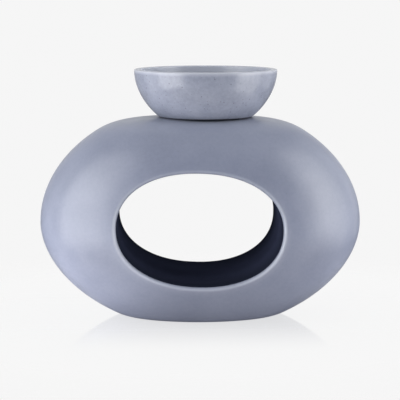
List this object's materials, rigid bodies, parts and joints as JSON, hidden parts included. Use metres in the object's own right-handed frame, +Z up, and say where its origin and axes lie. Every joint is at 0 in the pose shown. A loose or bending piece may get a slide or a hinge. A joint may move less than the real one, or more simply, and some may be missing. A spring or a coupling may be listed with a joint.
{
  "type": "wax melt burner",
  "caption": "Pebble-shaped glazed stoneware burner with a wide oval tunnel for a tealight and a loose bowl on its flat crown that melts scented wax.",
  "frame": {"origin": "on the surface that the burner stands on, under the middle of its width and depth", "axes": "+Z up, X along the width with +X to the viewer's right in the picture, Y along the tunnel with -Y towards the viewer"},
  "size_m": [0.16, 0.0806, 0.1233],
  "materials": {
    "body_glaze": "satin grey-blue glaze",
    "tunnel_glaze": "dark navy satin glaze",
    "flue_clay": "dark fired clay",
    "dish_glaze": "satin grey-blue glaze with fine specks"
  },
  "bodies": {
    "burner": {"body_shell": "body_glaze", "tunnel_sleeve": "tunnel_glaze", "flue_collar": "flue_clay"},
    "dish": {"wax_dish": "dish_glaze"}
  },
  "joints": [
    {"name": "dish_lift", "type": "slide", "parent": "burner", "child": "dish", "axis": [0, 0, 1], "range_m": [0, 0.06]}
  ]
}
